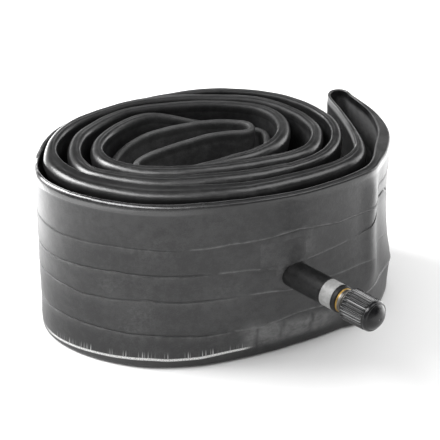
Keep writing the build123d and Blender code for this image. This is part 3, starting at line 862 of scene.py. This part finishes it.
class Surface(Graph):
    """A material with one Principled shader."""

    def __init__(self, name):
        self.material = bpy.data.materials.new(name)
        self.material.use_nodes = True
        super().__init__(self.material.node_tree)
        output = self.node("OutputMaterial")
        self.shader = self.node("BsdfPrincipled")
        self.feed(self.shader.outputs[0], output.inputs[0])
        self.position = self.node("TexCoord").outputs["Object"]

    def set(self, **inputs):
        for name, value in inputs.items():
            self.feed(value, self.shader.inputs[name.replace("_", " ")])

    def attribute(self, name):
        node = self.node("Attribute")
        node.attribute_name = name
        return node.outputs["Fac"]

    def noise(self, scale, detail, rough, vector=None):
        node = self.node("TexNoise")
        node.inputs["Scale"].default_value = scale
        node.inputs["Detail"].default_value = detail
        node.inputs["Roughness"].default_value = rough
        self.feed(vector or self.position, node.inputs["Vector"])
        return node.outputs["Fac"]

    def mix(self, factor, a, b):
        a, b = (c if hasattr(c, "links") else (*c, 1) for c in (a, b))
        return self.choose("RGBA", factor, a, b)

    def bump(self, height, strength, distance, normal=None):
        node = self.node("Bump")
        node.inputs["Strength"].default_value = strength
        node.inputs["Distance"].default_value = distance
        self.feed(height, node.inputs["Height"])
        if normal is not None:
            self.feed(normal, node.inputs["Normal"])
        return node.outputs["Normal"]

    def valve_step(self, between, to):
        """Linear step along the valve axis, in metres from the valve's base."""
        distance = self.dot(self.node("TexCoord").outputs["Object"], AXIS)
        base = float(VALVE_BASE @ AXIS) * MM
        return self.step(distance, between=[base + v for v in between], to=to, smooth=False)


def grey(value):
    return (value, value, value)


# ---- Materials ---------------------------------------------------------------------------------
def rubber(name, dark=(0.008, 0.008, 0.0085), light=(0.026, 0.026, 0.0265), rough=(0.24, 0.36),
           extra_rough=0.0, dust=0.13, specular=0.5, marks_and_painted_light=None):
    """Mottled rubber; an optional function of (surface, tone, color, roughness) adds marks and
    painted light and sets the specular.
    """
    m = Surface(name)
    cloud = m.noise(scale=34, detail=4, rough=0.62)
    mottle = m.noise(scale=420, detail=3, rough=0.6)
    grain = m.noise(scale=2600, detail=2, rough=0.6)
    tone = m.add(m.mul(cloud, 0.45), m.add(m.mul(mottle, 0.30), m.mul(grain, 0.25)))
    color = m.mix(m.step(tone, between=(0.40, 0.60)), dark, light)
    # a haze of dusting powder in blotches
    haze = m.mul(m.step(m.noise(scale=60, detail=5, rough=0.65), between=(0.52, 0.74)),
                 m.step(m.noise(scale=900, detail=2, rough=0.7), between=(0.42, 0.62)))
    color = m.mix(m.mul(haze, dust), color, grey(0.19))
    roughness = m.add(rough[0], m.mul(tone, rough[1] - rough[0]))
    roughness = m.add(roughness, m.mul(haze, 0.12))
    if marks_and_painted_light:
        color, roughness, specular = marks_and_painted_light(m, tone, color, roughness)
    else:
        roughness = m.add(roughness, extra_rough)
    m.set(Base_Color=color, Roughness=roughness, Specular_IOR_Level=specular)
    normal = m.bump(m.noise(scale=180, detail=4, rough=0.6), strength=0.25, distance=0.0004)
    normal = m.bump(mottle, strength=0.26, distance=0.00025, normal=normal)
    m.set(Normal=m.bump(grain, strength=0.22, distance=0.00008, normal=normal))
    return m.material


def worn_line(m):
    """Mask of the broken pale line and of the short strokes above it."""
    above = m.attribute("worn")
    along_tube = m.attribute("along")
    stretch = m.node("CombineXYZ")
    m.feed(m.mul(along_tube, 1.0), stretch.inputs[0])
    fine = m.noise(scale=1.9, detail=2, rough=0.7, vector=stretch.outputs[0])
    slow = m.noise(scale=0.22, detail=2, rough=0.5, vector=stretch.outputs[0])
    flat = m.node("CombineXYZ")
    m.feed(along_tube, flat.inputs[0])
    m.feed(m.mul(above, 2.0), flat.inputs[1])
    speck = m.noise(scale=2.6, detail=2, rough=0.7, vector=flat.outputs[0])
    line_core = m.step(m.math("ABSOLUTE", above), between=(0.20, 0.58), to=(1, 0))
    line_core = m.mul(line_core, m.step(speck, between=(0.36, 0.56), to=(0.25, 1)))
    strokes = m.mul(m.step(above, between=(0.0, 0.3)),
                    m.step(above, between=(0.6, 2.9), to=(1, 0)))
    strokes = m.mul(strokes, m.mul(m.step(fine, between=(0.52, 0.62)),
                                   m.step(slow, between=(0.44, 0.60), to=(0, 0.8))))
    either = m.math("MAXIMUM", line_core, m.mul(strokes, 0.85))
    return m.mul(m.attribute("worn_in"), either)


def tube_marks_and_painted_light(m, tone, color, roughness):
    """Walls, folds with painted shade, powder film with painted light and shade, inner strands
    with painted fill light, and the worn line, from the tube's attributes.
    """
    on_wall = m.math("ABSOLUTE", m.attribute("side"))
    roughness = m.add(roughness, m.mul(on_wall, 0.12))
    # painted fill light: a much lighter grey where the inside attribute is set
    inside = m.mix(m.step(tone, between=(0.36, 0.66)), (0.045, 0.045, 0.046), grey(0.11))
    color = m.mix(m.attribute("inside"), color, inside)
    # painted shade: the folds along the top and bottom edges are darkened towards black
    on_fold = m.math("SUBTRACT", 1.0, on_wall)
    color = m.mix(m.mul(on_fold, 0.45), color, grey(0.003))
    # powder film with painted light and shade: paler blotches where that mask is set
    blotch_pattern = m.step(m.noise(scale=420, detail=4, rough=0.7), between=(0.30, 0.70), to=(0.40, 0.95))
    color = m.mix(m.mul(m.attribute("powder_and_painted_light"), blotch_pattern), color, grey(0.135))
    gloss = m.attribute("gloss")
    specular = m.step(m.attribute("shade"), between=(0.0, 1.0), to=(0.5, 0.09))
    specular = m.math("SUBTRACT", specular, m.mul(on_wall, 0.06))
    specular = m.add(specular, m.mul(gloss, 0.35))
    powder_light_and_gloss = m.add(m.mul(m.attribute("powder_and_painted_light"), 0.14), m.mul(gloss, -0.07))
    roughness = m.add(roughness, powder_light_and_gloss)
    roughness = m.add(roughness, m.mul(m.attribute("shade"), 0.3))
    roughness = m.add(roughness, m.mul(m.attribute("inside"), 0.12))
    mask = worn_line(m)
    color = m.mix(mask, color, (0.74, 0.74, 0.73))
    return color, m.add(roughness, m.mul(mask, 0.35)), specular


def plain(name, base, rough, metal=0.0, bump=0.08, variation=0.12):
    """One slightly uneven colour; returns the surface."""
    m = Surface(name)
    tone = m.step(m.noise(scale=900, detail=3, rough=0.6), between=(0.35, 0.65))
    dark = [c * (1 - variation) for c in base]
    light = [min(1, c * (1 + variation)) for c in base]
    uneven = m.mul(m.noise(scale=360, detail=2, rough=0.5), 0.12)
    grain = m.noise(scale=1980, detail=2, rough=0.5)
    m.set(Base_Color=m.mix(tone, dark, light), Metallic=metal,
          Roughness=m.add(rough - 0.06, uneven),
          Normal=m.bump(grain, strength=bump, distance=0.00003))
    return m


def cap_plastic():
    """Black plastic, less shiny on the ribs than on the domed front's far end."""
    m = plain("cap_plastic", base=(0.004, 0.004, 0.0045), rough=0.24, bump=0.03)
    m.set(Specular_IOR_Level=m.valve_step(between=(0.0308, 0.0318), to=(0.33, 0.26)))
    return m.material


def nickel():
    """Dull nickel thread, with a brass colour at its foot."""
    m = plain("nickel", base=(0.11, 0.105, 0.097), rough=0.46, metal=1.0, bump=0.03)
    foot = m.valve_step(between=(0.02055, 0.02065), to=(1.0, 0.0))
    metal_color = m.shader.inputs["Base Color"].links[0].from_socket
    m.set(Base_Color=m.mix(foot, metal_color, (0.24, 0.15, 0.04)))
    return m.material


tube_rubber = rubber("butyl_rubber", marks_and_painted_light=tube_marks_and_painted_light)
stem_rubber = rubber("stem_rubber", dark=(0.0008, 0.0008, 0.0009), light=(0.013, 0.013, 0.0132),
                     rough=(0.42, 0.60), dust=0.04, specular=0.13)
patch_rubber = rubber("patch_rubber", dark=(0.016, 0.016, 0.0165), light=(0.046, 0.046, 0.0465),
                      extra_rough=0.24)
cap_black = cap_plastic()
band_ink = plain("band_ink", base=(0.195, 0.195, 0.192), rough=0.55).material
brass = plain("brass", base=(0.74, 0.52, 0.20), rough=0.26, metal=1.0).material
insert_nickel = nickel()
seal_rubber = plain("seal_rubber", base=grey(0.02), rough=0.5).material
spring_steel = plain("spring_steel", base=grey(0.6), rough=0.3, metal=1.0).material
gasket_red = plain("gasket_red", base=(0.30, 0.03, 0.02), rough=0.45).material


def fit(ob, material, rides, replaces):
    ob.data.materials.append(material)
    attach(ob, rides)
    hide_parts(replaces)


fit(tube, tube_rubber, rides="root", replaces="inner_tube")
fit(patch, patch_rubber, rides="root", replaces="valve_patch")
fit(spring, spring_steel, rides="root", replaces="core_spring")
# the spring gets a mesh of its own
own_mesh(spring)
fit(jacket, stem_rubber, rides="root", replaces="stem_jacket")
fit(cap, cap_black, rides="cap", replaces="dust_cap")
fit(insert, insert_nickel, rides="root", replaces="stem_insert")

CAD_MATERIALS = {
    "stem_band": band_ink, "core_plug": brass, "core_barrel": brass, "core_gasket": gasket_red,
    "core_pin": brass, "core_cup": brass, "core_seal": seal_rubber, "cap_seal": seal_rubber,
}
for node_name, material in CAD_MATERIALS.items():
    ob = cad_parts.get(node_name)
    if ob is not None:      # the frame may lack a piece
        ob.data.materials.clear()
        ob.data.materials.append(material)


# ---- Stage (metres) ----------------------------------------------------------------------------
def build_floor(half=6, z=-0.0002):
    mesh = bpy.data.meshes.new("floor")
    corners = [(-half, -half, z), (half, -half, z), (half, half, z), (-half, half, z)]
    mesh.from_pydata(corners, [], [(0, 1, 2, 3)])
    floor = add_object("floor", mesh)
    m = Surface("floor_white")
    m.set(Base_Color=(0.80, 0.80, 0.80, 1), Roughness=0.9, Specular_IOR_Level=0.1)
    # in reflections only, the floor glows on either side of the tube, most on the left
    place = m.split(m.node("NewGeometry").outputs["Position"])
    left = m.mul(m.step(place["X"], between=(-0.082, -0.114), to=(0.0, 5.2)),
                 m.step(place["Y"], between=(-0.045, 0.030), to=(0.25, 1.4)))
    right = m.mul(m.step(place["X"], between=(0.080, 0.106), to=(0.0, 3.4)),
                  m.step(place["Y"], between=(-0.045, 0.020), to=(0.25, 1.3)))
    in_reflection = m.node("LightPath").outputs["Is Glossy Ray"]
    m.set(Emission_Color=(1, 1, 1, 1), Emission_Strength=m.mul(m.add(left, right), in_reflection))
    mesh.materials.append(m.material)


# Soft boxes seen in reflections: direction, cosines where each starts and is full, strength
SOFT_BOXES = (
    ((-0.80, 0.10, 0.55), (0.90, 0.97), 2.6), ((0.82, 0.38, 0.38), (0.94, 0.99), 2.4),
    ((-0.56, 0.0, 0.83), (0.965, 0.992), 8.0), ((-0.44, -0.24, 0.86), (0.965, 0.992), 10.0),
    ((-0.26, -0.42, 0.87), (0.965, 0.992), 7.5), ((-0.05, -0.52, 0.85), (0.96, 0.992), 2.2),
    ((0.42, 0.04, 0.90), (0.92, 0.98), 4.6),
)


def build_world():
    world = bpy.data.worlds.new("studio")
    world.use_nodes = True
    bpy.context.scene.world = world
    g = Graph(world.node_tree)
    output = g.node("OutputWorld")
    background = g.node("Background")
    direction = g.node("TexCoord").outputs["Generated"]
    toward = g.split(direction)
    y, z = toward["Y"], toward["Z"]

    # what lights the scene: a white room, brighter behind and above
    room = g.add(g.step(y, between=(-0.8, 0.45), to=(0.36, 0.62)),
                 g.step(z, between=(0.30, 0.95), to=(0.0, 1.2)))
    # what the rubber mirrors: a backdrop low behind, a dark ceiling, soft boxes, a dim front
    backdrop = g.mul(g.step(z, between=(0.06, 0.40), to=(1.0, 0.0)),
                     g.step(y, between=(-0.50, 0.20), to=(0.0, 3.0)))
    boxes = None
    for aim, cosines, strength in SOFT_BOXES:
        cosine = g.dot(direction, Vector(aim).normalized())
        box = g.step(cosine, between=cosines, to=(0.0, strength))
        boxes = box if boxes is None else g.add(boxes, box)
    front = g.mul(g.step(y, between=(-0.45, -0.75), to=(0.0, 0.90)),
                  g.step(z, between=(0.15, 0.55), to=(1.0, 0.25)))
    mirrored = g.add(g.add(backdrop, 0.10), g.add(boxes, front))
    rays = g.node("LightPath").outputs
    strength = g.choose("FLOAT", rays["Is Glossy Ray"], room, mirrored)
    strength = g.choose("FLOAT", rays["Is Camera Ray"], strength, 1.1)
    g.feed(strength, background.inputs["Strength"])
    background.inputs["Color"].default_value = (1, 1, 1, 1)
    g.feed(background.outputs[0], output.inputs[0])


def area_light(name, location, width, height, power, target=(0, 0, 0.03)):
    light = bpy.data.lights.new(name, "AREA")
    light.shape = "RECTANGLE"
    light.size = width
    light.size_y = height
    light.energy = power
    ob = add_object(name, light)
    ob.location = location
    aim = Vector(target) - Vector(location)
    ob.rotation_euler = aim.to_track_quat("-Z", "Y").to_euler()


def build_camera():
    data = bpy.data.cameras.new("camera")
    data.lens = 122.7272727
    data.sensor_width = 36
    data.clip_start = 0.01
    camera = add_object("camera", data)
    camera.location = (0.0013, -0.379, 0.2883)
    camera.rotation_euler = (math.radians(56), 0, 0)
    bpy.context.scene.camera = camera


build_floor()
build_world()
area_light("key", location=(-0.58, 0.13, 0.58), width=0.38, height=0.38, power=9.5)
area_light("rim_right", location=(0.65, 0.30, 0.35), width=0.30, height=0.5, power=1.2)
build_camera()
bpy.context.scene.view_settings.view_transform = "Standard"
